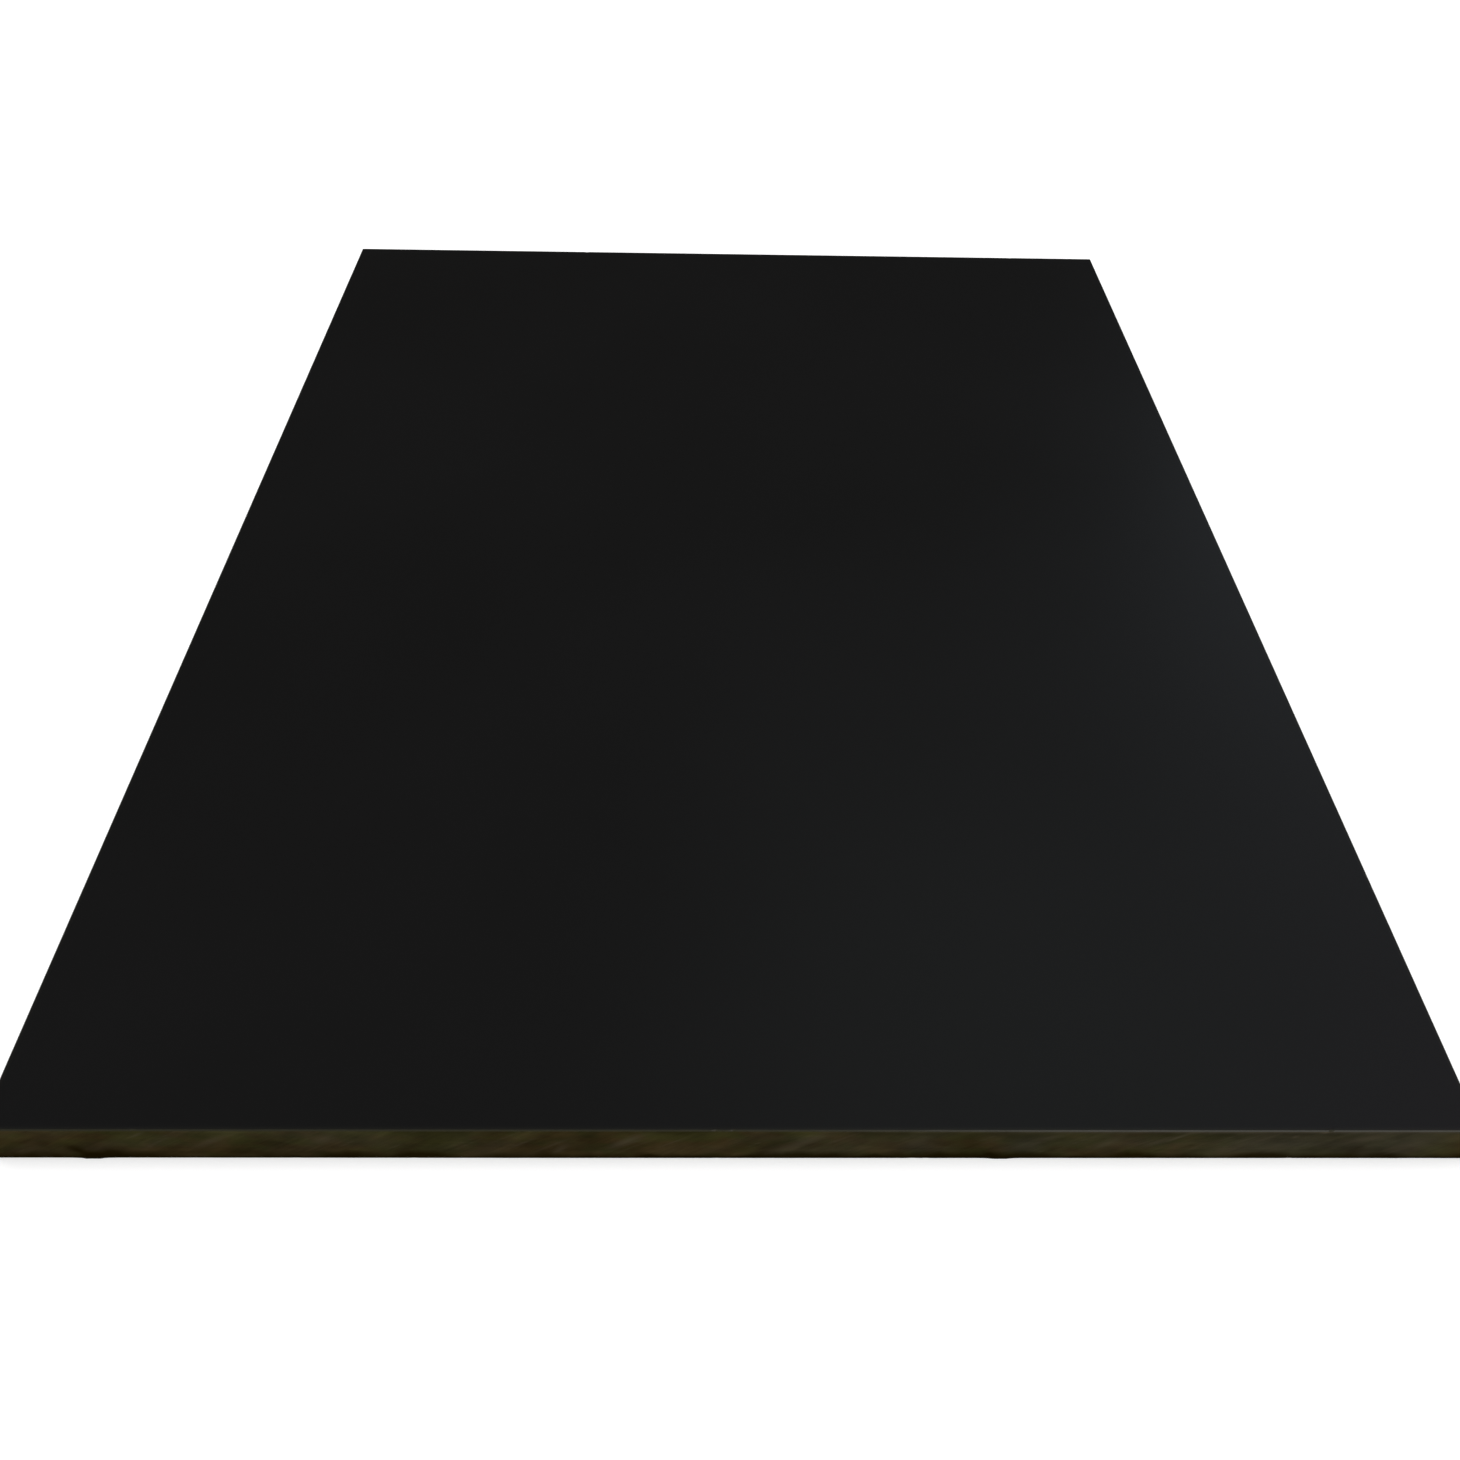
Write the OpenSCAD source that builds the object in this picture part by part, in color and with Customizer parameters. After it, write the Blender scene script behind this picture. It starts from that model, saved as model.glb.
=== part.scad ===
// High pressure laminate panel: one cut-to-size piece of black compact laminate.
// A stack of brown kraft sheets is cured under pressure between two thin black decor
// sheets, and the piece is then sawn from a full sheet, so its four edges show the core.
//
// Millimetres, +Z up. The origin is at the middle of the underside. X runs along the
// width and Y along the length, and the panel lies flat on its back decor sheet.

/* [Panel] */
// Width of the piece, along X
panel_w = 300; // [100:1:1300]
// Length of the piece, along Y
panel_l = 415; // [100:1:2800]
// Thickness over both decor sheets
panel_t = 10; // [6:0.5:20]

/* [Layers] */
// Thickness of each decor sheet
decor_t = 0.25; // [0.1:0.05:0.6]

/* [Sawn edges] */
// Leg of the 45 degree bevel that breaks every long arris
arris = 0.3; // [0.1:0.05:1.2]
// Radius that breaks the four upright corners
corner_r = 0.6; // [0.1:0.1:5]

/* [Hidden] */
// Heights at which the core meets the two decor sheets
core_bottom = decor_t;
core_top = panel_t - decor_t;
// Sides of a whole circle at a corner
corner_fn = 48;

// The sawn piece seen from above, with its corners broken
module plan_outline() {
    union() {
        square([panel_w - 2 * corner_r, panel_l], center = true);
        square([panel_w, panel_l - 2 * corner_r], center = true);
        for (side = [-1, 1], end = [-1, 1])
            translate([side * (panel_w / 2 - corner_r), end * (panel_l / 2 - corner_r)])
                circle(r = corner_r, $fn = corner_fn);
    }
}

// The section through the thickness of a piece as wide as span, with bevelled arrises
module section_outline(span) {
    polygon([
        [arris - span / 2, 0],
        [span / 2 - arris, 0],
        [span / 2, arris],
        [span / 2, panel_t - arris],
        [span / 2 - arris, panel_t],
        [arris - span / 2, panel_t],
        [-span / 2, panel_t - arris],
        [-span / 2, arris],
    ]);
}

// The whole sawn piece, with no layers
module sawn_piece() {
    intersection() {
        linear_extrude(height = panel_t) plan_outline();
        rotate([90, 0, 0])
            linear_extrude(height = panel_l, center = true) section_outline(panel_w);
        rotate([90, 0, 90])
            linear_extrude(height = panel_w, center = true) section_outline(panel_l);
    }
}

// The part of the sawn piece that lies between two heights
module layer(z_low, z_high) {
    intersection() {
        sawn_piece();
        translate([-panel_w / 2, -panel_l / 2, z_low])
            cube([panel_w, panel_l, z_high - z_low]);
    }
}

module back_decor() {
    color([0.09, 0.09, 0.09]) layer(0, core_bottom);
}

module kraft_core() {
    color([0.18, 0.15, 0.09]) layer(core_bottom, core_top);
}

module face_decor() {
    color([0.10, 0.10, 0.11]) layer(core_top, panel_t);
}

back_decor();
kraft_core();
face_decor();
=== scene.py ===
"""Dresses the high pressure laminate panel: sawn kraft core, black decor sheets, studio."""

import logging
import math
import random
from dataclasses import dataclass, field
from enum import Enum

import bmesh
import bpy
from mathutils import Matrix, Vector, noise


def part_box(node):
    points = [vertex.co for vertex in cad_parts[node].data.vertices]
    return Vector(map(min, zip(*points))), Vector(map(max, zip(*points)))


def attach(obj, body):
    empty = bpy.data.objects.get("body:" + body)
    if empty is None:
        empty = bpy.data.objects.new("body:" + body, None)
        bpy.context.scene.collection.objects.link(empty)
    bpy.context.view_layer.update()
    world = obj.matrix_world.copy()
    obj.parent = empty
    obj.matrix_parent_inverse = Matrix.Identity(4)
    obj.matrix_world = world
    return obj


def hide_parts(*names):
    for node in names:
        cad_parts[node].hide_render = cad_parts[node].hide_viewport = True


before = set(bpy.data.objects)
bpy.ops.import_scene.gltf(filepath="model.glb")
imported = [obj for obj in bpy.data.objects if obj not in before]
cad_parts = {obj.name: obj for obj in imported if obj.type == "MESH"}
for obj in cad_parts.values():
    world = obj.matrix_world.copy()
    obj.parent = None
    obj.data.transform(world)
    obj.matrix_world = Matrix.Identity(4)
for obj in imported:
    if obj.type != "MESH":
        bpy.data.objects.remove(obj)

Colour = tuple[float, float, float]
Tint = tuple[float, float, float, float]
Triple = tuple[float, float, float]
Span = tuple[float, float]
Socket = bpy.types.NodeSocket
Value = float | bool | str | tuple[float, ...] | Vector | Socket

MM = 0.001
WHITE: Tint = (1.0, 1.0, 1.0, 1.0)
UNIT: Span = (0.0, 1.0)
MIDDLE: Triple = (0.0, 0.0, 0.0)  # the middle of the panel's underside
NOISE_SPAN: Span = (0.3, 0.7)  # where most values of a noise lie
SAW_SLANT = 34.0  # degrees by which a tooth's path rises to the right
SET_BACK = 0.05 * MM  # how far the finished sides stay behind the CAD outline
BURR_SHARE = 0.95  # how much of its set-back and bevel a full burr takes back

log = logging.getLogger("laminate_panel")


# --------------------------------------------------------------------------- shaping helpers


def smooth_step(low: float, high: float, value: float) -> float:
    """Rise smoothly from 0 at low to 1 at high, or fall if low is the larger.

    Args:
        low: The value at which the result is 0.
        high: The value at which the result is 1.
        value: Where to read it.

    Returns:
        A number from 0 to 1.
    """
    t = min(1.0, max(0.0, (value - low) / (high - low)))
    return t * t * (3.0 - 2.0 * t)


def hump(offset: float, width: float) -> float:
    """Return a bell of height 1 at offset 0, about a third at one width and nothing by two."""
    return math.exp(-((offset / width) ** 2))


class Edge(Enum):
    """The four sawn edges, each with the seed of its own saw marks."""

    FRONT = 11
    RIGHT = 23
    REAR = 37
    LEFT = 41


class Face(Enum):
    """Which way a decor sheet looks."""

    UP = 1
    DOWN = -1


@dataclass(frozen=True)
class Outline:
    """The panel's rounded rectangle in plan, with a running length round it.

    The run starts at the front left corner and goes along the front edge, up the right
    one, back along the rear one and down the left one, so it always leads to the right
    for someone who faces that edge from outside.
    """

    width: float
    length: float
    corner: float

    def outward(self, x: float, y: float) -> Vector:
        """Return the outward direction in plan at a point on the outline."""
        reach_x = self.width / 2 - self.corner
        reach_y = self.length / 2 - self.corner
        nearest = Vector((min(reach_x, max(-reach_x, x)), min(reach_y, max(-reach_y, y)), 0.0))
        return (Vector((x, y, 0.0)) - nearest).normalized()

    def run(self, x: float, y: float) -> tuple[Edge, float]:
        """Find the edge that a point of the outline is on, and how far along it.

        Args:
            x: The point's place across the width.
            y: The point's place along the length.

        Returns:
            The edge, and the distance from the edge's left end as seen from outside.
        """
        out = self.outward(x, y)
        if abs(out.y) >= abs(out.x):
            if out.y < 0:
                return Edge.FRONT, x + self.width / 2
            return Edge.REAR, self.width / 2 - x
        if out.x > 0:
            return Edge.RIGHT, y + self.length / 2
        return Edge.LEFT, self.length / 2 - y

    def span(self, edge: Edge) -> float:
        """Return the length of an edge."""
        return self.width if edge in (Edge.FRONT, Edge.REAR) else self.length


# --------------------------------------------------------------------------- node helpers


@dataclass(frozen=True)
class Grain:
    """A noise pattern whose grains are drawn out by a different scale on each axis.

    Args:
        scale: Grains per metre along each axis.
        detail: How many finer layers it has.
        roughness: How strong the finer layers are.
        shift: How far it is moved along every axis, which picks the part that shows.
    """

    scale: Triple
    detail: float = 2.0
    roughness: float = 0.5
    shift: float = 0.0


class Graph:
    """Builds one node tree with short calls."""

    def __init__(self, tree: bpy.types.NodeTree) -> None:
        """Start from an empty tree.

        Args:
            tree: The material's or world's node tree, which is cleared.
        """
        self.tree = tree
        tree.nodes.clear()

    def add(self, kind: str, **inputs: Value) -> bpy.types.Node:
        """Add a node and feed its sockets.

        Args:
            kind: The node's type, such as ShaderNodeTexNoise.
            **inputs: A value or an output socket for each input, by the input's name with
                underscores for spaces. The name of a property sets that property.

        Returns:
            The new node.
        """
        node = self.tree.nodes.new(kind)
        settings = {name: value for name, value in inputs.items() if hasattr(node, name)}
        for name, value in settings.items():
            setattr(node, name, value)
        for name, value in inputs.items():
            if name not in settings:
                self.feed(node.inputs[name.replace("_", " ")], value)
        return node

    def feed(self, socket: Socket, value: Value) -> None:
        """Link an output to a socket, or set the socket's own value."""
        if isinstance(value, bpy.types.NodeSocket):
            self.tree.links.new(value, socket)
        else:
            socket.default_value = value

    def maths(self, operation: str, first: Value, second: Value) -> Socket:
        """Return the result of a Math node on two values or sockets."""
        node = self.add("ShaderNodeMath", operation=operation)
        self.feed(node.inputs[0], first)
        self.feed(node.inputs[1], second)
        return node.outputs[0]

    def blend(self, share: Value, first: Colour | Socket, second: Colour | Socket) -> Socket:
        """Mix two colours.

        Args:
            share: How much of the second shows, as a value or a socket.
            first: The colour at share 0.
            second: The colour at share 1.

        Returns:
            The mixed colour.
        """
        node = self.add("ShaderNodeMix", data_type="RGBA")
        sockets = {s.identifier: s for s in node.inputs}
        self.feed(sockets["Factor_Float"], share)
        self.feed(sockets["A_Color"], (*first, 1.0) if isinstance(first, tuple) else first)
        self.feed(sockets["B_Color"], (*second, 1.0) if isinstance(second, tuple) else second)
        return next(s for s in node.outputs if s.identifier == "Result_Color")

    def ranged(self, value: Socket, source: Span, result: Span) -> Socket:
        """Carry a value from one range to another, held at its ends.

        Args:
            value: The socket to read.
            source: The value's low and high end.
            result: What those ends become.

        Returns:
            The mapped value.
        """
        node = self.add("ShaderNodeMapRange", clamp=True, Value=value)
        node.inputs["From Min"].default_value, node.inputs["From Max"].default_value = source
        node.inputs["To Min"].default_value, node.inputs["To Max"].default_value = result
        return node.outputs["Result"]

    def clamped(self, value: Socket) -> Socket:
        """Hold a value between 0 and 1."""
        return self.ranged(value, UNIT, UNIT)

    def grain(self, where: Socket, pattern: Grain) -> Socket:
        """Return a noise pattern on some coordinates, about 0.5 in the middle."""
        placed = self.add(
            "ShaderNodeMapping", vector_type="POINT", Vector=where, Scale=pattern.scale
        )
        placed.inputs["Location"].default_value = (pattern.shift,) * 3
        return self.add(
            "ShaderNodeTexNoise",
            Vector=placed.outputs[0],
            Scale=1.0,
            Detail=pattern.detail,
            Roughness=pattern.roughness,
        ).outputs[0]

    def joined(self, kind: str, first: Socket, second: Socket, **inputs: Value) -> Socket:
        """Add two shaders or mix them.

        Args:
            kind: ShaderNodeAddShader or ShaderNodeMixShader.
            first: The first shader.
            second: The second shader, which is the one that a mix shows at a Fac of 1.
            **inputs: The mix's Fac.

        Returns:
            The joined shader.
        """
        node = self.add(kind, **inputs)
        sockets = [s for s in node.inputs if s.type == "SHADER"]
        self.feed(sockets[0], first)
        self.feed(sockets[1], second)
        return node.outputs[0]

    def end(self, shader: Socket, kind: str = "ShaderNodeOutputMaterial") -> None:
        """Link the finished shader to the tree's output."""
        self.feed(self.add(kind).inputs["Surface"], shader)


def new_material(name: str) -> tuple[bpy.types.Material, Graph]:
    """Start a material and return it with its empty node graph."""
    made = bpy.data.materials.new(name)
    made.use_nodes = True
    return made, Graph(made.node_tree)


# --------------------------------------------------------------------------- finishes


@dataclass(frozen=True)
class DecorFinish:
    """Black satin melamine, lighter and glossier on the sanded arris."""

    name: str = "satin_black_melamine"
    face: Colour = (0.0042, 0.0042, 0.0044)
    face_lighter: Colour = (0.0050, 0.0050, 0.0053)
    sanded: Colour = (0.0245, 0.0235, 0.0138)
    roughness: float = 0.36
    sanded_roughness: float = 0.22
    cloud: Grain = Grain((9.0, 9.0, 9.0), detail=3.0)
    cloud_span: Span = (0.35, 0.65)
    cloud_roughness: float = 0.015
    press: Grain = Grain((2200.0, 2200.0, 2200.0), roughness=0.55)
    press_roughness: float = 0.02
    press_height: float = 0.0016 * MM
    ior: float = 1.5

    def material(self) -> bpy.types.Material:
        """Build the material: a faint cloud in the black, a fine press grain, a worn arris."""
        made, graph = new_material(self.name)
        place = graph.add("ShaderNodeTexCoord").outputs["Object"]
        sanded = graph.add("ShaderNodeAttribute", attribute_name=DecorSheet.SANDED).outputs["Fac"]
        cloud = graph.grain(place, self.cloud)
        press = graph.grain(place, self.press)
        lighter = graph.ranged(cloud, self.cloud_span, UNIT)
        black = graph.blend(lighter, self.face, self.face_lighter)
        colour = graph.blend(sanded, black, self.sanded)
        low, high = self.roughness - self.cloud_roughness, self.roughness + self.cloud_roughness
        dull = graph.ranged(cloud, NOISE_SPAN, (low, high))
        speckle = graph.ranged(press, NOISE_SPAN, (-self.press_roughness, self.press_roughness))
        rough = graph.maths("ADD", dull, speckle)
        worn = graph.maths("MULTIPLY", sanded, self.sanded_roughness - self.roughness)
        bump = graph.add("ShaderNodeBump", Strength=1.0, Distance=self.press_height, Height=press)
        shader = graph.add(
            "ShaderNodeBsdfPrincipled",
            Base_Color=colour,
            Roughness=graph.maths("ADD", rough, worn),
            IOR=self.ior,
            Normal=bump.outputs[0],
        )
        graph.end(shader.outputs[0])
        return made


@dataclass(frozen=True)
class KraftFinish:
    """Sawn phenolic kraft: olive-brown plies, slanted saw scratches, rubbed lighter streaks, with
    painted shade along its foot and painted window light and highlight on the front edge.

    A level is what the ends of a grain's noise span make of the colour's lightness.
    """

    name: str = "sawn_phenolic_kraft"
    brown: Colour = (0.0311, 0.0213, 0.0078)
    olive: Colour = (0.0264, 0.0243, 0.0073)
    # Greyer tone for random haze, also used for painted window light on the front edge.
    grey_haze_and_window_light: Colour = (0.0306, 0.0278, 0.0172)
    # Lighter colour of rubbed streaks, also used for a painted highlight under the arris.
    burnish_and_sheen_colour: Colour = (0.070, 0.057, 0.036)
    # Dark colour for scorching and stains, also used for painted shade along the foot and painted
    # shadow round the burrs.
    scorched_and_shaded: Colour = (0.0088, 0.0053, 0.0003)
    slant: float = math.radians(SAW_SLANT)
    plies: Grain = Grain((14.0, 4600.0, 1.0), roughness=0.6)
    scratches: Grain = Grain((120.0, 2900.0, 1.0), detail=3.0, roughness=0.65)
    fine_shares: Span = (0.4, 0.6)  # of plies and scratches
    fine_level: Span = (0.76, 1.24)
    swathes: Grain = Grain((110.0, 380.0, 1.0), shift=3.7)
    swathe_level: Span = (0.85, 1.15)
    blots: Grain = Grain((80.0, 160.0, 1.0), detail=3.0, shift=489.9)
    blot_level: Span = (0.63, 1.37)
    patches: Grain = Grain((120.0, 210.0, 1.0), shift=286.5)
    patch_span: Span = (0.36, 0.64)
    patch_tone: Span = (-0.25, 1.15)
    tone_heights: Span = (3.0 * MM, 9.0 * MM)
    tone_rise: Span = (-0.3, 0.42)
    clouds: Grain = Grain((34.0, 120.0, 1.0), shift=166.5)
    cloud_span: Span = (0.42, 0.70)
    cloud_haze: Span = (0.0, 0.4)
    ragged: Grain = Grain((110.0, 60.0, 1.0), detail=3.0, shift=2.6)
    ragged_reach: Span = (1.1 * MM, -1.1 * MM)
    # Painted shade along the bottom of the edges, partly scorching.
    foot: Span = (0.7 * MM, 2.5 * MM)
    foot_shade: Span = (0.85, 0.0)
    relief_shares: Span = (0.7, 0.3)  # of scratches and plies
    relief_height: float = 0.012 * MM
    roughness: Span = (0.85, 0.62)
    ior: float = 1.5

    def material(self) -> bpy.types.Material:
        """Build the material on the run and height map of the sawn edges."""
        made, graph = new_material(self.name)
        place = graph.add("ShaderNodeUVMap", uv_map=KraftCore.RUN_MAP).outputs[0]
        burnish, scorch_and_shade, window_light_mark = (
            graph.add("ShaderNodeAttribute", attribute_name=name).outputs["Fac"]
            for name in KraftCore.MARKS
        )
        plies = graph.grain(place, self.plies)
        turned = graph.add(
            "ShaderNodeMapping", vector_type="POINT", Vector=place, Rotation=(0.0, 0.0, -self.slant)
        ).outputs[0]
        scratches = graph.grain(turned, self.scratches)
        colour = self.hue(graph, place, window_light_mark)
        fine = self.mixed(graph, (plies, scratches), self.fine_shares)
        level = self.level(graph, place, turned, fine)
        scaled = graph.add("ShaderNodeVectorMath", operation="SCALE")
        graph.feed(scaled.inputs[0], colour)
        graph.feed(scaled.inputs["Scale"], level)
        # Rubbed streaks, and a painted highlight under the arris.
        streaked = graph.blend(burnish, scaled.outputs[0], self.burnish_and_sheen_colour)
        # Painted shade along the foot, partly scorching.
        footed = graph.blend(self.dark_foot(graph, place), streaked, self.scorched_and_shaded)
        relief = self.mixed(graph, (scratches, plies), self.relief_shares)
        bump = graph.add("ShaderNodeBump", Strength=1.0, Distance=self.relief_height, Height=relief)
        shader = graph.add(
            "ShaderNodeBsdfPrincipled",
            # Dark marks: scorching and stains, with painted shade at the torn foot and painted
            # shadow round the burrs.
            Base_Color=graph.blend(scorch_and_shade, footed, self.scorched_and_shaded),
            Roughness=graph.ranged(burnish, UNIT, self.roughness),
            IOR=self.ior,
            Specular_IOR_Level=0.0,
            Normal=bump.outputs[0],
        )
        graph.end(shader.outputs[0])
        return made

    def mixed(self, graph: Graph, grains: tuple[Socket, Socket], shares: Span) -> Socket:
        """Return the sum of two grains, each by its own share."""
        parts = [graph.maths("MULTIPLY", *part) for part in zip(grains, shares)]
        return graph.maths("ADD", *parts)

    def hue(self, graph: Graph, place: Socket, window_light_mark: Socket) -> Socket:
        """Return the core's colour: browner below, more olive above, greyer in random clouds, and
        lighter and bluer where painted window light falls on the front edge.
        """
        height = graph.add("ShaderNodeSeparateXYZ", Vector=place).outputs["Y"]
        rise = graph.ranged(height, self.tone_heights, self.tone_rise)
        patches = graph.grain(place, self.patches)
        tone = graph.maths("ADD", graph.ranged(patches, self.patch_span, self.patch_tone), rise)
        colour = graph.blend(graph.clamped(tone), self.brown, self.olive)
        clouds = graph.grain(place, self.clouds)
        # Random grey haze plus painted window light.
        haze_and_light = graph.maths("ADD", graph.ranged(clouds, self.cloud_span, self.cloud_haze), window_light_mark)
        return graph.blend(graph.clamped(haze_and_light), colour, self.grey_haze_and_window_light)

    def level(self, graph: Graph, place: Socket, turned: Socket, fine: Socket) -> Socket:
        """Return how light the core is at a place, 1 being its own colour.

        Args:
            graph: The material's node graph.
            place: The run and height map.
            turned: The same map, turned to the saw's slant.
            fine: The plies and scratches, mixed.

        Returns:
            The fine grain, slanted swathes and blots, multiplied.
        """
        swathes = graph.ranged(graph.grain(turned, self.swathes), NOISE_SPAN, self.swathe_level)
        blots = graph.ranged(graph.grain(place, self.blots), NOISE_SPAN, self.blot_level)
        grained = graph.ranged(fine, NOISE_SPAN, self.fine_level)
        return graph.maths("MULTIPLY", blots, graph.maths("MULTIPLY", swathes, grained))

    def dark_foot(self, graph: Graph, place: Socket) -> Socket:
        """Return how far the dark colour covers the foot of the edges, with a ragged top: painted
        shade along the bottom, partly scorching.
        """
        height = graph.add("ShaderNodeSeparateXYZ", Vector=place).outputs["Y"]
        ragged = graph.ranged(graph.grain(place, self.ragged), NOISE_SPAN, self.ragged_reach)
        return graph.ranged(graph.maths("ADD", height, ragged), self.foot, self.foot_shade)


# --------------------------------------------------------------------------- marks on the edges


@dataclass(frozen=True)
class Smear:
    """A soft mark on a sawn edge, drawn out along the path of a tooth. It is in millimetres.

    Args:
        run: Its middle along the edge.
        height: Its middle above the floor.
        length: Its reach along its slant.
        width: Its reach across its slant.
        strength: How strong its middle is. FrontMarks holds the sum of its marks, so a
            strength past that only widens the part that is full.
        slant: The degrees by which it rises to the right.
    """

    run: float
    height: float
    length: float
    width: float
    strength: float
    slant: float = SAW_SLANT

    def at(self, run: float, height: float) -> float:
        """Return its strength at a place on the edge, given in metres."""
        turn = math.radians(self.slant)
        over, up = run / MM - self.run, height / MM - self.height
        along = over * math.cos(turn) + up * math.sin(turn)
        across = up * math.cos(turn) - over * math.sin(turn)
        return self.strength * hump(along, self.length) * hump(across, self.width)


@dataclass(frozen=True)
class FrontMarks:
    """The marks that stand out on the front edge: rubbed light, torn and dark, and painted window
    light, with painted highlight and shadow among them.

    Args:
        most: What the marks of one kind may add up to at a place.
        polish_and_sheen: The marks that are lighter and smoother; the two along the top paint a
            highlight under the arris.
        dark: The marks that are torn or burnt darker; those round the two burrs are painted shadow.
        grey_haze_and_window_light: Painted window light: patches on the right half, greyer and
            lighter than the brown core, and a painted highlight band under the arris there.
    """

    most: float = 0.9
    polish_and_sheen: tuple[Smear, ...] = (
        Smear(45.0, 6.2, 4.2, 0.9, 0.30),
        Smear(67.5, 7.0, 3.2, 1.2, 0.25),
        Smear(76.0, 6.3, 8.0, 1.8, 0.15, 0.0),
        Smear(114.0, 3.2, 2.4, 0.8, 0.30, 50.0),
        Smear(127.5, 6.2, 4.0, 0.9, 0.45),
        Smear(163.0, 5.8, 6.5, 1.2, 0.32),
        Smear(186.5, 6.2, 3.2, 1.1, 0.25),
        Smear(212.5, 7.6, 2.8, 0.8, 0.30, 20.0),
        Smear(224.5, 5.6, 3.2, 1.1, 0.30),
        Smear(235.0, 6.4, 3.2, 0.6, 0.36),
        Smear(238.5, 7.7, 2.8, 0.4, 0.50),
        Smear(262.5, 8.0, 0.5, 0.4, 0.50),
        Smear(277.0, 7.2, 4.2, 1.1, 0.42, 15.0),
        Smear(287.5, 5.6, 5.0, 1.8, 0.30),
        # These two paint a highlight: a band under the arris on the right part, and a bright spot
        # beside the chip.
        Smear(255.0, 9.75, 54.0, 0.42, 0.48, 0.0),
        Smear(267.9, 9.7, 0.6, 0.4, 0.90, 0.0),
    )
    dark: tuple[Smear, ...] = (
        Smear(12.0, 5.6, 1.4, 0.8, 0.25),
        # These three paint shadow round the burr near run 20.
        Smear(18.0, 3.2, 2.2, 1.1, 0.75, -42.0),
        Smear(20.8, 0.7, 2.4, 1.1, 1.40, 0.0),
        Smear(24.0, 2.6, 2.0, 0.9, 0.35),
        Smear(44.0, 4.4, 3.0, 1.0, 0.25),
        Smear(38.0, 4.2, 8.0, 1.5, 0.22, 0.0),
        Smear(62.5, 6.8, 1.6, 0.7, 0.20),
        Smear(187.0, 6.8, 8.0, 2.6, 0.20, 0.0),
        Smear(197.0, 6.0, 4.5, 2.4, 0.34, 90.0),
        # These two paint shadow round the burr near run 204.
        Smear(201.4, 1.5, 1.5, 0.9, 1.10, -25.0),
        Smear(203.8, 0.5, 2.0, 0.6, 0.90, 0.0),
        Smear(213.5, 3.2, 1.8, 1.2, 0.30),
        Smear(242.0, 4.8, 1.2, 0.8, 0.25),
        Smear(276.0, 3.2, 2.4, 1.1, 0.35, 60.0),
        Smear(180.0, 9.0, 45.0, 0.5, 0.17, 0.0),
        Smear(55.0, 2.3, 45.0, 1.0, 0.38, 0.0),
    )
    # Painted window light on the right half of the front edge, and a painted highlight band under
    # the arris there.
    grey_haze_and_window_light: tuple[Smear, ...] = (
        Smear(187.0, 5.0, 4.5, 3.0, 0.50, 0.0),
        Smear(208.0, 4.5, 4.0, 3.5, 0.60, 0.0),
        Smear(260.0, 6.0, 16.0, 6.0, 0.85, 0.0),
        Smear(284.0, 6.0, 9.0, 6.0, 0.50, 0.0),
        Smear(255.0, 9.7, 54.0, 0.5, 0.85, 0.0),
    )

    def of(self, marks: tuple[Smear, ...], edge: Edge, run: float, height: float) -> float:
        """Return how strong a group of marks is at a place: nothing but on the front edge."""
        if edge is not Edge.FRONT:
            return 0.0
        return min(self.most, sum(mark.at(run, height) for mark in marks))


@dataclass(frozen=True)
class Streak:
    """A bright streak that one turn of the blade leaves.

    Args:
        offset: Its place, in shares of the feed.
        middle: Its middle height, in shares of the thickness.
        half_height: Its reach up and down, in shares of the thickness.
        width: Its reach to each side, in shares of the feed.
        strength: How bright it is, from 0 to 1.
    """

    offset: float
    middle: float
    half_height: float
    width: float
    strength: float


@dataclass(frozen=True)
class Foot:
    """The torn foot of one turn: its offset and reach in shares of the feed, its height."""

    offset: float
    reach: float
    rise: float


@dataclass(frozen=True)
class Turn:
    """What one turn of the blade leaves: a groove, a few bright streaks and a torn foot.

    Args:
        strength: How deep its groove is, from 0 to 1.
        slip: How far it lies from its even place, in shares of the feed.
        glow: How light the broad band behind the groove is, from 0 to 1.
        streaks: Its bright streaks.
        foot: Its torn foot.
    """

    strength: float
    slip: float
    glow: float
    streaks: tuple[Streak, ...]
    foot: Foot

    @classmethod
    def drawn(cls, draw: random.Random) -> "Turn":
        """Draw one turn's marks."""
        streaks = tuple(
            Streak(
                offset=draw.uniform(0.1, 0.95),
                middle=draw.uniform(0.2, 0.85),
                half_height=draw.uniform(0.10, 0.26),
                width=draw.uniform(0.012, 0.035),
                strength=draw.uniform(0.2, 1.0),
            )
            for _ in range(draw.randint(1, 3))
        )
        foot = Foot(
            offset=draw.uniform(0.1, 0.6),
            reach=draw.uniform(0.10, 0.34),
            rise=draw.uniform(0.1, 1.0) * MM,
        )
        return cls(
            strength=draw.uniform(0.25, 1.0),
            slip=draw.uniform(-0.14, 0.14),
            glow=draw.uniform(0.0, 1.0),
            streaks=streaks,
            foot=foot,
        )


@dataclass(frozen=True)
class Rib:
    """A groove across the feed, or a lip where its share is negative.

    Args:
        share: Its depth, in shares of the main groove's.
        offset: Its place, in shares of the feed.
        width: Its reach to each side, in shares of the feed.
    """

    share: float
    offset: float
    width: float


@dataclass(frozen=True)
class Ripple:
    """A smooth random wave over a sawn edge, with its waves per metre along and up it."""

    along: float
    up: float

    def at(self, run: float, height: float, layer: float) -> float:
        """Return the wave at a place, from about -1 to 1, on one layer of the noise."""
        return noise.noise(Vector((run * self.along, height * self.up, layer)))


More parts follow.
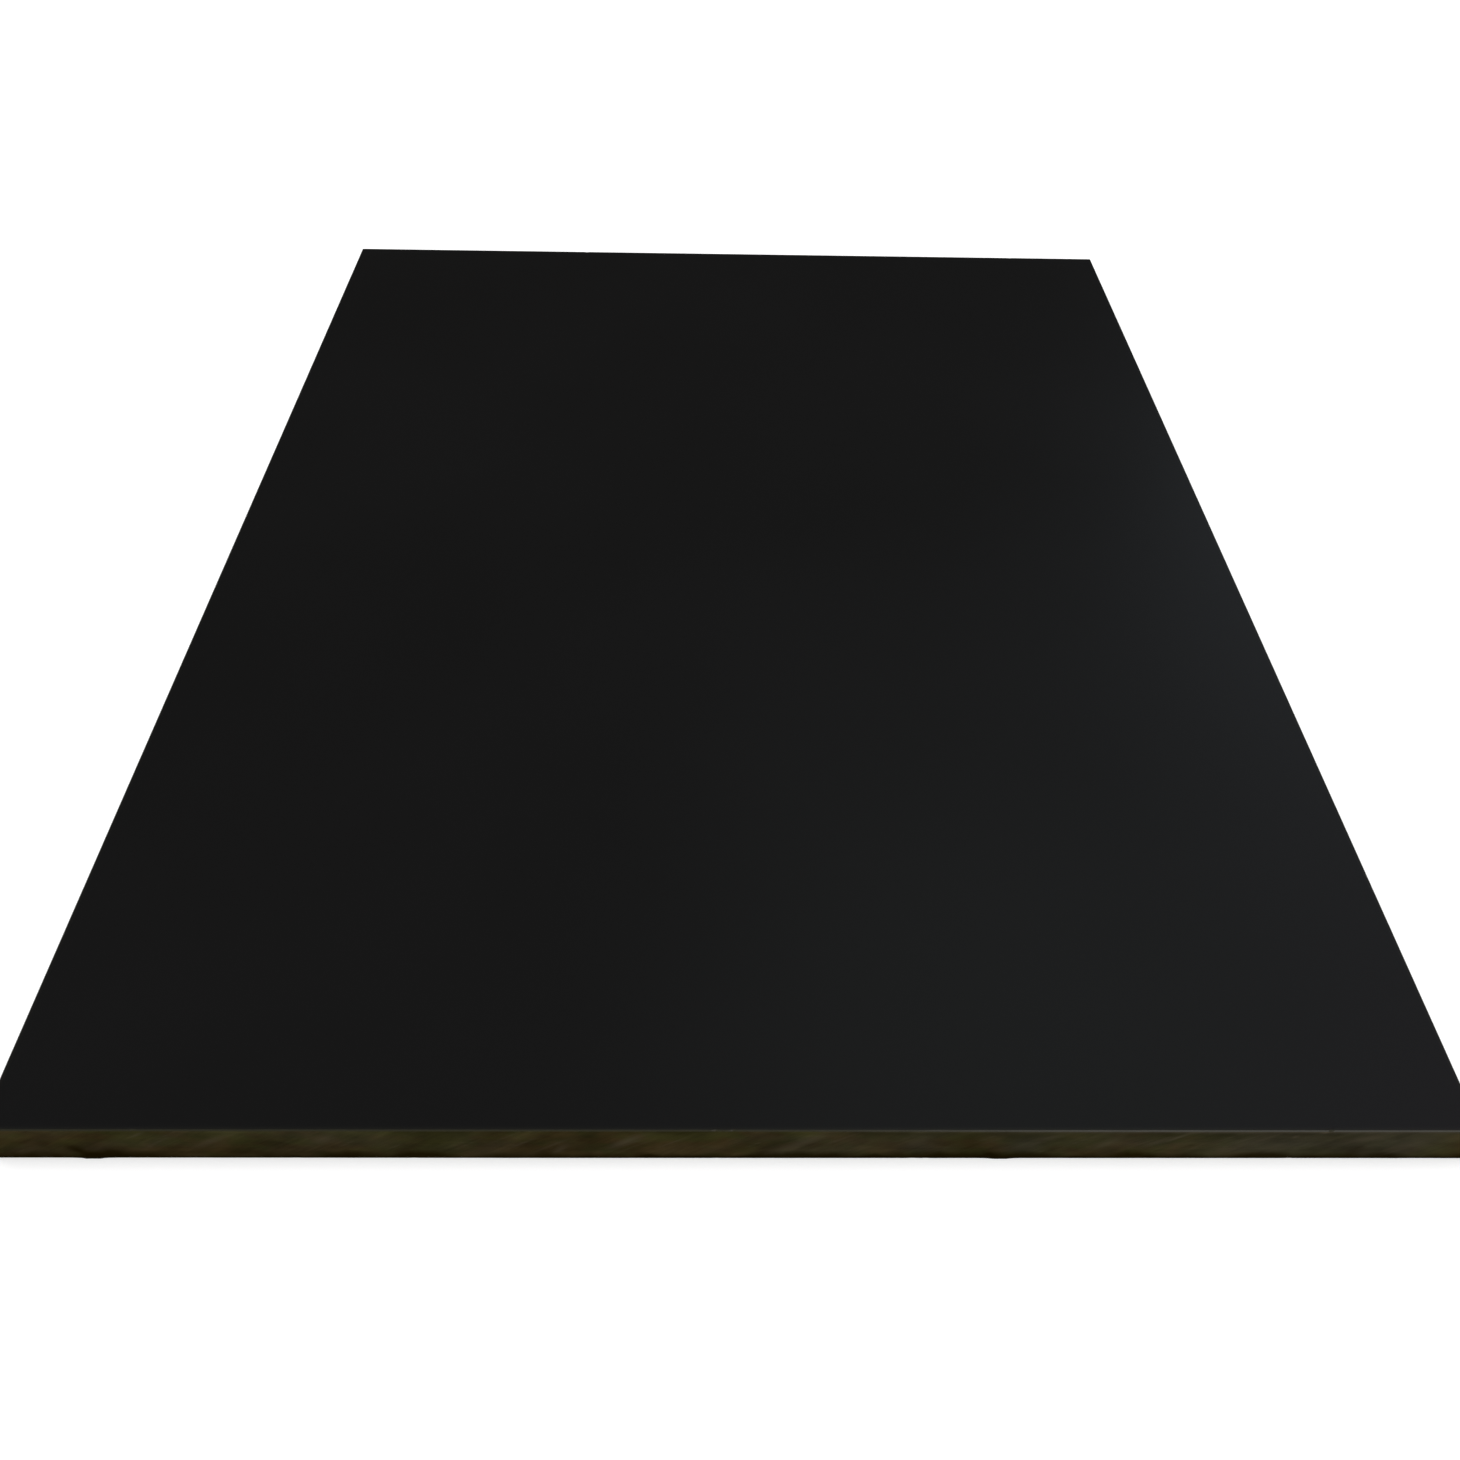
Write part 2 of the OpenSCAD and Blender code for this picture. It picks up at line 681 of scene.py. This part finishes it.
@dataclass
class SawMarks:
    """What a circular saw leaves on one edge, as depth, rubbed light streaks and the dark of the
    torn foot at each place; that dark is partly scorching, partly painted shade.

    Args:
        edge: Which sawn edge it is, for its own seed.
        span: The edge's length.
        top: The panel's thickness.
        feed: How far the panel moves in one turn of the blade.
        spare: How many turns are drawn past each end, whose marks lean onto the edge.
        slant: The angle of the tooth's path.
        blade_radius: The blade's radius, which curves the path.
        groove: The main groove's depth.
        ribs: The grooves and lips of one turn, from the main groove on.
        terrace: The height of the step that each turn leaves.
        terrace_from: Where that step is full, in shares of the feed.
        waviness: The height of the slow waves over the whole edge.
        waves: The slow waves.
        fade_ends: How far from the edge's ends the marks start and are full.
        torn_depth: How deep the torn foot is.
        torn_least: The torn foot's height where no turn raises it.
        tears: The ragged top of the torn foot.
        band: The light band behind the groove, with its strength as its share.
        shine: How strongly the streaks and bands polish.
        wander: The slow change of the polish.
        most: The strongest polish, or the darkest torn foot.
    """

    edge: Edge
    span: float
    top: float
    feed: float = 11.5 * MM
    spare: int = 3
    slant: float = math.radians(SAW_SLANT)
    blade_radius: float = 150.0 * MM
    groove: float = 0.045 * MM
    ribs: tuple[Rib, ...] = (
        Rib(1.0, 0.12, 0.045),
        Rib(-0.45, 0.22, 0.06),
        Rib(0.35, 0.63, 0.04),
    )
    terrace: float = 0.02 * MM
    terrace_from: float = 0.12
    waviness: float = 0.012 * MM
    waves: Ripple = Ripple(38.0, 120.0)
    fade_ends: Span = (0.3 * MM, 2.2 * MM)
    torn_depth: float = 0.10 * MM
    torn_least: float = 0.35 * MM
    tears: Ripple = Ripple(330.0, 300.0)
    band: Rib = Rib(0.28, 0.3, 0.2)
    shine: float = 0.45
    wander: Ripple = Ripple(160.0, 420.0)
    most: float = 0.85
    turns: list[Turn] = field(init=False)

    def __post_init__(self) -> None:
        """Draw the marks of every turn that reaches this edge."""
        draw = random.Random(self.edge.value)
        reach = self.span + 2.0 * self.top / math.tan(self.slant)
        count = int(reach / self.feed) + 2 * self.spare
        self.turns = [Turn.drawn(draw) for _ in range(count)]

    def phase(self, run: float, height: float) -> float:
        """Return which turn of the blade cut this place, counted from the first one drawn."""
        lean = height / math.tan(self.slant) + height * height / (2.0 * self.blade_radius)
        return (run - lean) / self.feed + self.spare

    def nearby(self, run: float, height: float) -> list[tuple[float, Turn]]:
        """List the turns near a place, each with its offset in shares of the feed."""
        phase = self.phase(run, height)
        first = int(math.floor(phase))
        near = range(max(0, first - 1), min(len(self.turns), first + 2))
        return [(phase - k - self.turns[k].slip, self.turns[k]) for k in near]

    def fade(self, run: float) -> float:
        """Return 0 at the edge's ends and 1 over the rest, so that corners meet cleanly."""
        return smooth_step(*self.fade_ends, min(run, self.span - run))

    def depth(self, run: float, height: float) -> float:
        """Return how far in from the nominal face the surface lies."""
        cut = 0.0
        start = self.terrace_from
        for offset, turn in self.nearby(run, height):
            for rib in self.ribs:
                deep = rib.share * self.groove * turn.strength
                cut += deep * hump(offset - rib.offset, rib.width)
            step = self.terrace * turn.strength * smooth_step(0.0, start, offset)
            cut += step * smooth_step(1.0, start, offset)
        cut += self.waviness * self.waves.at(run, height, float(self.edge.value))
        cut += self.torn_depth * self.torn(run, height)
        return SET_BACK + cut * self.fade(run)

    def torn(self, run: float, height: float) -> float:
        """Return how torn the lower arris is, from 0 to 1, where the teeth leave it."""
        ragged = 0.5 + 0.5 * self.tears.at(run, height, 2.0)
        reach = self.torn_least * (0.6 + 0.8 * ragged)
        for offset, turn in self.nearby(run, 0.0):
            foot = turn.foot
            reach += foot.rise * (0.5 + ragged) * hump(offset - foot.offset, foot.reach)
        return smooth_step(1.35 * reach + 0.25 * MM, 0.5 * reach, height)

    def burnish(self, run: float, height: float) -> float:
        """Return how rubbed smooth and light the surface is, from 0 to 1."""
        level = height / self.top
        shine = 0.0
        for offset, turn in self.nearby(run, height):
            shine += self.band.share * turn.glow * hump(offset - self.band.offset, self.band.width)
            for streak in turn.streaks:
                upright = streak.strength * hump(level - streak.middle, streak.half_height)
                shine += upright * hump(offset - streak.offset, streak.width)
        wander = 0.75 + 0.5 * self.wander.at(run, height, 9.0)
        return min(self.most, max(0.0, self.shine * shine * wander))

    def scorch_and_shade(self, run: float, height: float) -> float:
        """Return how dark the torn lower part is painted, from 0 to 1: partly scorching, partly
        painted shade.
        """
        return self.most * self.torn(run, height)


@dataclass(frozen=True)
class ArrisSpot:
    """A small place on an arris, such as a burr.

    Args:
        edge: The edge that it is on.
        run: Its place along the edge.
        width: How long it is along the edge.
        height: How far it reaches up or down the edge.
    """

    LEAN = 0.9  # how far it runs back along the edge for each step away from the arris

    edge: Edge
    run: float
    width: float
    height: float

    def at(self, edge: Edge, run: float, from_arris: float) -> float:
        """Return its share, from 0 to 1, at a place that far from the arris."""
        if edge is not self.edge:
            return 0.0
        lean = self.LEAN * from_arris
        along = hump(run - self.run + lean, self.width / 2)
        return along * smooth_step(self.height, 0.0, from_arris)


@dataclass(frozen=True)
class Nick(ArrisSpot):
    """A small break in an arris, with how deep it goes."""

    depth: float


# --------------------------------------------------------------------------- the panel's pieces


@dataclass
class Panel:
    """The panel's driving sizes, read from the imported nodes, and its outline.

    Args:
        arris: The leg of the upper arris, at the face.
        lower_arris: The leg of the lower arris, at the floor.
        lower_wear: How much more the lower arris is worn near the front left corner.
        worn_run: Where along the front edge that wear starts to grow, and where it is full.
        corner: The radius of the upright corners.
        burrs: The burrs that stand out past the lower arris.
        burr_fill: How far a burr's bell is raised, so that its middle is full.
    """

    outline: Outline = field(init=False)
    core_low: float = field(init=False)
    core_high: float = field(init=False)
    top: float = field(init=False)
    arris: float = 0.3 * MM
    lower_arris: float = 0.15 * MM
    lower_wear: float = 0.38 * MM
    worn_run: Span = (120.0 * MM, 20.0 * MM)
    corner: float = 0.6 * MM
    burrs: tuple[ArrisSpot, ...] = (
        ArrisSpot(Edge.FRONT, 20.2 * MM, 5.4 * MM, 1.6 * MM),
        ArrisSpot(Edge.FRONT, 203.6 * MM, 4.4 * MM, 1.2 * MM),
    )
    burr_fill: float = 1.4

    def __post_init__(self) -> None:
        """Read the sizes from the frame."""
        low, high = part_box("kraft_core")
        self.outline = Outline(high.x - low.x, high.y - low.y, self.corner)
        self.core_low, self.core_high = low.z, high.z
        self.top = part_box("face_decor")[1].z

    def foot(self, edge: Edge, run: float) -> float:
        """Return the leg of the lower arris, which is more worn near the front left corner."""
        worn = smooth_step(*self.worn_run, run) if edge is Edge.FRONT else 0.0
        return self.lower_arris + self.lower_wear * worn

    def burr(self, edge: Edge, run: float, height: float) -> float:
        """Return the share, from 0 to 1, of a burr that stands out past the lower arris."""
        return min(1.0, max(self.burr_fill * burr.at(edge, run, height) for burr in self.burrs))


def ring_face(
    bm: bmesh.types.BMesh, outline: Outline, height: float, step: float
) -> bmesh.types.BMFace:
    """Make a flat face with the panel's outline and a fine row of points round it.

    Args:
        bm: The mesh to add to, which is empty.
        outline: The panel's outline.
        height: The face's height.
        step: The spacing of the points along the straight edges.

    Returns:
        The face, looking up.
    """
    bmesh.ops.create_grid(bm, x_segments=1, y_segments=1, size=0.5)
    bmesh.ops.scale(bm, vec=Vector((outline.width, outline.length, 1.0)), verts=bm.verts)
    bmesh.ops.translate(bm, vec=(0.0, 0.0, height), verts=bm.verts)
    bmesh.ops.bevel(
        bm,
        geom=list(bm.verts),
        offset=outline.corner,
        offset_type="OFFSET",
        segments=5,
        profile=0.5,
        affect="VERTICES",
        material=-1,
    )
    for edge in [e for e in bm.edges if e.calc_length() > 20 * outline.corner]:
        cuts = round(edge.calc_length() / step) - 1
        bmesh.ops.subdivide_edges(bm, edges=[edge], cuts=cuts)
    bm.faces.ensure_lookup_table()
    return bm.faces[0]


def finished(bm: bmesh.types.BMesh, name: str, material: bpy.types.Material) -> bpy.types.Object:
    """Turn a mesh into a piece of the scene, at the origin.

    Args:
        bm: The mesh, which is freed.
        name: The piece's name.
        material: Its finish.

    Returns:
        The new object.
    """
    bmesh.ops.recalc_face_normals(bm, faces=bm.faces)
    mesh = bpy.data.meshes.new(name)
    bm.to_mesh(mesh)
    bm.free()
    mesh.materials.append(material)
    piece = bpy.data.objects.new(name, mesh)
    bpy.context.scene.collection.objects.link(piece)
    return piece


@dataclass
class KraftCore:
    """The cured stack of kraft sheets, with real saw marks on its four edges.

    Args:
        panel: The panel's sizes.
        finish: The sawn edges' finish.
        marked: The marks that stand out on the front edge.
        step: The spacing of its points along the edges.
        row: The spacing of its points up the edges.
        burr_shadow: How dark a full burr is painted, as painted shadow on and round it.
    """

    RUN_MAP = "run_height"
    MARKS = ("burnish", "scorch_and_shade", "window_light_mark")

    panel: Panel
    finish: KraftFinish
    marked: FrontMarks = FrontMarks()
    step: float = 0.64 * MM
    row: float = 0.31 * MM
    # Painted shadow on and round each burr.
    burr_shadow: float = 0.9

    def build(self) -> bpy.types.Object:
        """Build the core's mesh, its saw marks and its run and height map."""
        panel = self.panel
        bm = bmesh.new()
        base = ring_face(bm, panel.outline, panel.core_low, self.step)
        raised = bmesh.ops.extrude_face_region(bm, geom=[base], use_keep_orig=True)
        lifted = [g for g in raised["geom"] if isinstance(g, bmesh.types.BMVert)]
        thickness = panel.core_high - panel.core_low
        bmesh.ops.translate(bm, vec=(0.0, 0.0, thickness), verts=lifted)
        self.cut_rows(bm, thickness)
        self.saw(bm)
        return finished(bm, "sawn_kraft_core", self.finish.material())

    def cut_rows(self, bm: bmesh.types.BMesh, thickness: float) -> None:
        """Split the edges into even rows, fine enough for the saw marks and the arris."""
        upright = [e for e in bm.edges if abs(e.verts[0].co.z - e.verts[1].co.z) > thickness / 2]
        cuts = round(thickness / self.row) - 1
        bmesh.ops.subdivide_edges(bm, edges=upright, cuts=cuts, use_grid_fill=True)

    def saw(self, bm: bmesh.types.BMesh) -> None:
        """Move the edges' points in by the saw marks, and note how rubbed light, how dark (partly
        painted shade and shadow) and how lit by painted window light each is.
        """
        panel, front = self.panel, self.marked
        outline = panel.outline
        marks = {edge: SawMarks(edge, outline.span(edge), panel.top) for edge in Edge}
        burnish, scorch_and_shade, window_light_mark = (bm.verts.layers.float.new(name) for name in self.MARKS)
        runs = {}
        for vert in bm.verts:
            x, y, height = vert.co
            out = outline.outward(x, y)
            edge, run = outline.run(x, y)
            runs[vert] = (edge, run, height)
            bevel = max(0.0, panel.arris - (panel.top - height), panel.foot(edge, run) - height)
            burr = panel.burr(edge, run, height)
            vert.co -= out * (marks[edge].depth(run, height) + bevel) * (1.0 - BURR_SHARE * burr)
            shine = marks[edge].burnish(run, height) * marks[edge].fade(run)
            # Rubbed streaks, plus the painted highlight marks under the arris.
            vert[burnish] = max(shine, front.of(front.polish_and_sheen, edge, run, height))
            # Painted shade at the torn foot, partly scorching, and painted shadow on the burrs.
            torn = max(marks[edge].scorch_and_shade(run, height), self.burr_shadow * burr)
            vert[scorch_and_shade] = max(torn, front.of(front.dark, edge, run, height))
            # Painted window light and painted highlight.
            vert[window_light_mark] = front.of(front.grey_haze_and_window_light, edge, run, height)
        self.lay_map(bm, runs)

    def lay_map(
        self, bm: bmesh.types.BMesh, runs: dict[bmesh.types.BMVert, tuple[Edge, float, float]]
    ) -> None:
        """Write the UV map: run and height on the edges, plan on the two flat faces.

        Args:
            bm: The core's mesh.
            runs: Each point's edge, its run along that edge, and its height.
        """
        starts, start = {}, 0.0
        for edge in Edge:
            starts[edge] = start
            start += self.panel.outline.span(edge)
        layer = bm.loops.layers.uv.new(self.RUN_MAP)
        for face in bm.faces:
            side = len(face.verts) == 4
            face.smooth = side
            for loop in face.loops:
                edge, run, height = runs[loop.vert]
                if side:
                    loop[layer].uv = (starts[edge] + run, height)
                else:
                    loop[layer].uv = (loop.vert.co.x, loop.vert.co.y)


@dataclass(frozen=True)
class Ring:
    """One ring of the rounded arris: its place from core, 0, to face, 1, and its inset."""

    rise: float
    inset: float


@dataclass
class DecorSheet:
    """One melamine decor sheet, with its sanded arris and small saw chips.

    Args:
        panel: The panel's sizes.
        face: Which way the sheet looks.
        name: The piece's name.
        scattered: How many small chips it has besides the chosen ones.
        step: The spacing of its points round the outline.
        margin: How far inside the arris the wide flat face starts.
        keep_every: Which points of the inner ring stay, so that the wide face is light.
        rounding: The rings of its arris, from the core out.
        nicks: The chosen chips.
        chip_clear: How far from an edge's ends the small chips stay.
        chip_width: The small chips' least and greatest width, in millimetres.
        chip_height: The small chips' reach up or down the edge.
        chip_depth: The small chips' least and greatest depth, in millimetres.
        wobble: How far the arris wavers.
        wobbles_per_m: How often it wavers.
        face_wear: How sanded the flat face's rim looks.
    """

    SANDED = "sanded"

    panel: Panel
    face: Face
    name: str
    scattered: int
    step: float = 0.42 * MM
    margin: float = 1.2 * MM
    keep_every: int = 8
    rounding: tuple[Ring, ...] = (
        Ring(0.0, 0.05 * MM),
        Ring(0.9, 0.27 * MM),
        Ring(1.0, 0.33 * MM),
    )
    nicks: tuple[Nick, ...] = ()
    chip_clear: float = 6 * MM
    chip_width: Span = (0.7, 1.5)
    chip_height: float = 1.0 * MM
    chip_depth: Span = (0.05, 0.14)
    wobble: float = 0.035 * MM
    wobbles_per_m: float = 160.0
    face_wear: float = 0.2

    def level(self, rise: float) -> float:
        """Return the height of a place between the core, 0, and the sheet's face, 1."""
        thickness = self.panel.top - self.panel.core_high
        start = self.panel.core_high if self.face is Face.UP else self.panel.core_low
        return start + self.face.value * rise * thickness

    def build(self, material: bpy.types.Material) -> bpy.types.Object:
        """Build the sheet from its core side out to its face."""
        bm = bmesh.new()
        sheet = ring_face(bm, self.panel.outline, self.level(0.0), self.step)
        ring_of = bm.verts.layers.int.new("ring")
        for index in range(1, len(self.rounding)):
            made = bmesh.ops.extrude_face_region(bm, geom=[sheet], use_keep_orig=index == 1)
            sheet = next(g for g in made["geom"] if isinstance(g, bmesh.types.BMFace))
            for vert in sheet.verts:
                vert[ring_of] = index
        bmesh.ops.inset_region(bm, faces=[sheet], thickness=self.margin, use_even_offset=True)
        for vert in sheet.verts:
            vert[ring_of] = len(self.rounding)
        chips = self.chips()
        worn = bm.verts.layers.float.new(self.SANDED)
        for vert in bm.verts:
            if vert[ring_of] == len(self.rounding):
                vert.co.z = self.level(1.0)
            else:
                self.place(vert, self.rounding[vert[ring_of]], chips, worn)
        self.thin_ring(bm, sheet)
        return finished(bm, self.name, material)

    def chips(self) -> list[Nick]:
        """List the sheet's chips: the chosen ones, and small ones scattered round its arris."""
        draw = random.Random(self.face.value + 7)
        return [self.random_chip(draw) for _ in range(self.scattered)] + list(self.nicks)

    def random_chip(self, draw: random.Random) -> Nick:
        """Draw one small chip somewhere round the outline."""
        edge = draw.choice(list(Edge))
        run = draw.uniform(self.chip_clear, self.panel.outline.span(edge) - self.chip_clear)
        width = draw.uniform(*self.chip_width) * MM
        return Nick(edge, run, width, self.chip_height, draw.uniform(*self.chip_depth) * MM)

    def place(
        self,
        vert: bmesh.types.BMVert,
        ring: Ring,
        chips: list[Nick],
        worn: bmesh.types.BMLayerItem,
    ) -> None:
        """Move one point of a ring to its place on the rounded arris.

        Args:
            vert: The point, still on the outline.
            ring: The ring that it is on.
            chips: The nicks that may reach this point.
            worn: The layer that holds how sanded the point is.
        """
        x, y, _ = vert.co
        panel, way = self.panel, self.face.value
        out = panel.outline.outward(x, y)
        edge, run = panel.outline.run(x, y)
        waver = noise.noise(Vector((run * self.wobbles_per_m, float(edge.value), 3.0 * way)))
        broken = max((chip.depth * chip.at(edge, run, 0.0) for chip in chips), default=0.0)
        burr = panel.burr(edge, run, 0.0) if self.face is Face.DOWN else 0.0
        below = panel.foot(edge, run) / panel.arris if self.face is Face.DOWN else 1.0
        loose = (self.wobble * waver + broken) * (0.3 + 0.7 * ring.rise)
        inward = out * (below * ring.inset + loose + SET_BACK) * (1.0 - BURR_SHARE * burr)
        vert.co = Vector((x, y, self.level(ring.rise))) - inward
        vert.co.z -= way * 0.5 * broken * smooth_step(0.5, 1.0, ring.rise)
        # Round a burr the lower arris stays black, part of the burr's painted shadow.
        vert[worn] = (1.0 - burr) if ring.rise < 1.0 else self.face_wear

    def thin_ring(self, bm: bmesh.types.BMesh, sheet: bmesh.types.BMFace) -> None:
        """Leave only some points of the inner ring, so that the wide face stays light."""
        spare = {vert for index, vert in enumerate(sheet.verts) if index % self.keep_every}
        inner = set(sheet.edges)
        spokes = [edge for vert in spare for edge in vert.link_edges if edge not in inner]
        bmesh.ops.dissolve_edges(bm, edges=spokes)
        bmesh.ops.dissolve_verts(bm, verts=list(spare))


# --------------------------------------------------------------------------- the studio


@dataclass(frozen=True)
class SoftLamp:
    """A rectangular soft lamp that looks at the panel.

    Args:
        name: The lamp's name.
        place: Where its middle is.
        target: The point that it faces.
        size: Its width and height.
        power: Its power in watts.
        tint: Its colour.
        mirrored: Whether reflections show it.
    """

    name: str
    place: Triple
    target: Triple
    size: Span
    power: float
    tint: Colour = (1.0, 1.0, 1.0)
    mirrored: bool = True

    def build(self) -> None:
        """Add the lamp to the scene, unseen by the camera itself."""
        data = bpy.data.lights.new(self.name, "AREA")
        data.shape = "RECTANGLE"
        data.size, data.size_y = self.size
        data.energy = self.power
        data.color = self.tint
        lamp = bpy.data.objects.new(self.name, data)
        lamp.location = self.place
        aim = Vector(self.target) - Vector(self.place)
        lamp.rotation_euler = aim.to_track_quat("-Z", "Y").to_euler()
        lamp.visible_camera = False
        lamp.visible_glossy = self.mirrored
        bpy.context.scene.collection.objects.link(lamp)


@dataclass
class Studio:
    """White floor and backdrop, soft lamps, a dim ceiling for reflections, and the camera.

    Args:
        lamps: The soft lamps. The first two light the panel and no reflection shows them,
            and the others put the soft glows on its face and arris.
        ambient: How brightly the white room lights the panel.
        ceiling_radius: The dome's radius.
        ceiling_glow: The dome's strength overhead. It falls to nothing at the floor.
        ceiling_tint: The dome's colour.
        side_direction: Where the dome's tinted glow is.
        side_reach: The cosines at which that glow starts and is full.
        side_glow: That glow's strength.
        side_tint: That glow's colour.
        floor_half: Half the floor's side.
        floor_colour: The floor's colour.
        floor_drop: How far the floor lies under the panel.
        floor_fade: The distances between which the floor's own glow grows.
        floor_glow: That glow's strength at those distances, where it is seen.
        eye: The camera's place.
        down: How far the camera looks down.
        turn: How far it is turned to the right.
        roll: How far it is tilted about its line of sight.
        lens: Its focal length in millimetres.
        sensor: Its frame's width in millimetres.
        shift: Its sideways shift, in shares of the frame's width.
        nearest: The nearest that it sees.
    """

    lamps: tuple[SoftLamp, ...] = (
        SoftLamp("overhead_softbox", (-0.5, 0.3, 1.9), MIDDLE, (1.6, 1.6), 22.0, mirrored=False),
        SoftLamp("front_softbox", (0.5, -1.6, 0.8), MIDDLE, (1.6, 0.9), 8.0, mirrored=False),
        SoftLamp("high_glow", (0.475, 0.731, 1.342), MIDDLE, (0.94, 0.30), 0.286, (0.82, 1.0, 1.0)),
        SoftLamp(
            "window_band", (0.993, 1.065, 0.664), MIDDLE, (0.86, 0.55), 0.595, (0.74, 0.87, 1.0)
        ),
        SoftLamp(
            "arris_glow",
            (0.668, -1.310, 0.783),
            (0.0, -0.2, 0.0),
            (0.86, 0.86),
            2.35,
            (0.96, 0.945, 1.0),
        ),
    )
    ambient: float = 0.5
    ceiling_radius: float = 4.0
    ceiling_glow: float = 0.106
    ceiling_tint: Tint = (1.0, 0.97, 0.915, 1.0)
    side_direction: Triple = (0.65, 0.27, 0.70)
    side_reach: Span = (0.95, 1.0)
    side_glow: float = 0.30
    side_tint: Tint = (1.0, 0.7, 1.0, 1.0)
    floor_half: float = 12.0
    floor_colour: Tint = (0.8, 0.8, 0.8, 1.0)
    floor_drop: float = 0.02 * MM
    floor_fade: Span = (0.8, 2.4)
    floor_glow: Span = (0.42, 0.66)
    eye: Triple = (-0.00612, -0.37030, 0.26204)
    down: float = math.radians(41.692)
    turn: float = math.radians(1.755)
    roll: float = math.radians(1.562)
    lens: float = 35.849
    sensor: float = 36.0
    shift: float = -0.00935
    nearest: float = 0.01

    def build(self) -> None:
        """Set up everything that isn't the panel."""
        for lamp in self.lamps:
            lamp.build()
        self.floor()
        self.ceiling()
        self.world()
        self.camera()
        bpy.context.scene.view_settings.view_transform = "Standard"

    def seen(self, graph: Graph) -> Socket:
        """Return 1 for camera, glossy and transmission rays, and 0 for those that light."""
        path = graph.add("ShaderNodeLightPath").outputs
        mirrored = graph.maths("MAXIMUM", path["Is Glossy Ray"], path["Is Transmission Ray"])
        return graph.maths("MAXIMUM", path["Is Camera Ray"], mirrored)

    def floor(self) -> None:
        """Lay a white floor that keeps the soft shadow and stays white far from the lamps."""
        made, graph = new_material("white_floor")
        matt = graph.add("ShaderNodeBsdfDiffuse", Color=self.floor_colour).outputs[0]
        place = graph.add("ShaderNodeTexCoord").outputs["Object"]
        away = graph.add("ShaderNodeVectorMath", operation="LENGTH")
        graph.feed(away.inputs[0], place)
        lift = graph.ranged(away.outputs["Value"], self.floor_fade, self.floor_glow)
        glow = graph.add("ShaderNodeEmission", Color=WHITE, Strength=lift).outputs[0]
        lifted = graph.joined("ShaderNodeAddShader", matt, glow)
        graph.end(graph.joined("ShaderNodeMixShader", matt, lifted, Fac=self.seen(graph)))
        made.cycles.emission_sampling = "NONE"
        bm = bmesh.new()
        bmesh.ops.create_grid(bm, x_segments=1, y_segments=1, size=self.floor_half)
        bmesh.ops.translate(bm, vec=(0.0, 0.0, -self.floor_drop), verts=bm.verts)
        finished(bm, "studio_floor", made)

    def ceiling(self) -> None:
        """Hang a dim dome that only reflections see, so that the black face stays black.

        Its strength grows with height, and one soft tinted glow stands on its right side.
        """
        made, graph = new_material("dim_ceiling")
        place = graph.add("ShaderNodeTexCoord").outputs["Object"]
        height = graph.add("ShaderNodeSeparateXYZ", Vector=place).outputs["Z"]
        strength = graph.maths("MULTIPLY", height, self.ceiling_glow / self.ceiling_radius)
        glow = graph.add("ShaderNodeEmission", Color=self.ceiling_tint, Strength=strength)
        toward = graph.add("ShaderNodeVectorMath", operation="DOT_PRODUCT")
        graph.feed(toward.inputs[0], place)
        direction = Vector(self.side_direction).normalized()
        toward.inputs[1].default_value = direction / self.ceiling_radius
        spot = graph.ranged(toward.outputs["Value"], self.side_reach, (0.0, self.side_glow))
        side = graph.add("ShaderNodeEmission", Color=self.side_tint, Strength=spot)
        graph.end(graph.joined("ShaderNodeAddShader", glow.outputs[0], side.outputs[0]))
        made.cycles.emission_sampling = "NONE"
        bm = bmesh.new()
        bmesh.ops.create_uvsphere(bm, u_segments=48, v_segments=24, radius=self.ceiling_radius)
        every = [*bm.verts, *bm.edges, *bm.faces]
        bmesh.ops.bisect_plane(
            bm, geom=every, plane_co=(0, 0, 0), plane_no=(0, 0, -1), clear_outer=True
        )
        dome = finished(bm, "ceiling_flag", made)
        dome.visible_camera = False
        dome.visible_diffuse = False
        dome.visible_shadow = False
        dome.visible_transmission = False

    def world(self) -> None:
        """Light the room evenly and show it white."""
        world = bpy.data.worlds.new("white_room")
        bpy.context.scene.world = world
        world.use_nodes = True
        graph = Graph(world.node_tree)
        lit = graph.add("ShaderNodeBackground", Color=WHITE, Strength=self.ambient).outputs[0]
        shown = graph.add("ShaderNodeBackground", Color=WHITE, Strength=1.0).outputs[0]
        mixed = graph.joined("ShaderNodeMixShader", lit, shown, Fac=self.seen(graph))
        graph.end(mixed, "ShaderNodeOutputWorld")

    def camera(self) -> None:
        """Put the camera just in front of the panel, looking down over its front edge."""
        data = bpy.data.cameras.new("view")
        data.lens = self.lens
        data.sensor_width = self.sensor
        data.shift_x = self.shift
        data.clip_start = self.nearest
        camera = bpy.data.objects.new("view", data)
        camera.matrix_world = (
            Matrix.Translation(self.eye)
            @ Matrix.Rotation(-self.turn, 4, "Z")
            @ Matrix.Rotation(math.pi / 2 - self.down, 4, "X")
            @ Matrix.Rotation(self.roll, 4, "Z")
        )
        bpy.context.scene.collection.objects.link(camera)
        bpy.context.scene.camera = camera


# --------------------------------------------------------------------------- putting it together


def hand_over(piece: bpy.types.Object, node: str) -> None:
    """Let a finished piece stand for its CAD node and log it."""
    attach(piece, "root")
    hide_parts(node)
    log.info("%s: %d faces, for %s", piece.name, len(piece.data.polygons), node)


def main() -> None:
    """Build the panel and its studio in order."""
    logging.basicConfig(level=logging.INFO, format="%(name)s: %(message)s")
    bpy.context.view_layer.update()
    panel = Panel()
    black = DecorFinish().material()
    core = KraftCore(panel, KraftFinish())
    hand_over(core.build(), "kraft_core")
    nicks = (Nick(Edge.FRONT, 269.3 * MM, 0.9 * MM, 1.0 * MM, 0.12 * MM),)
    face = DecorSheet(panel, Face.UP, "face_decor_sheet", 14, nicks=nicks)
    hand_over(face.build(black), "face_decor")
    back = DecorSheet(panel, Face.DOWN, "back_decor_sheet", 30)
    hand_over(back.build(black), "back_decor")
    Studio().build()


if __name__ == "__main__":
    main()
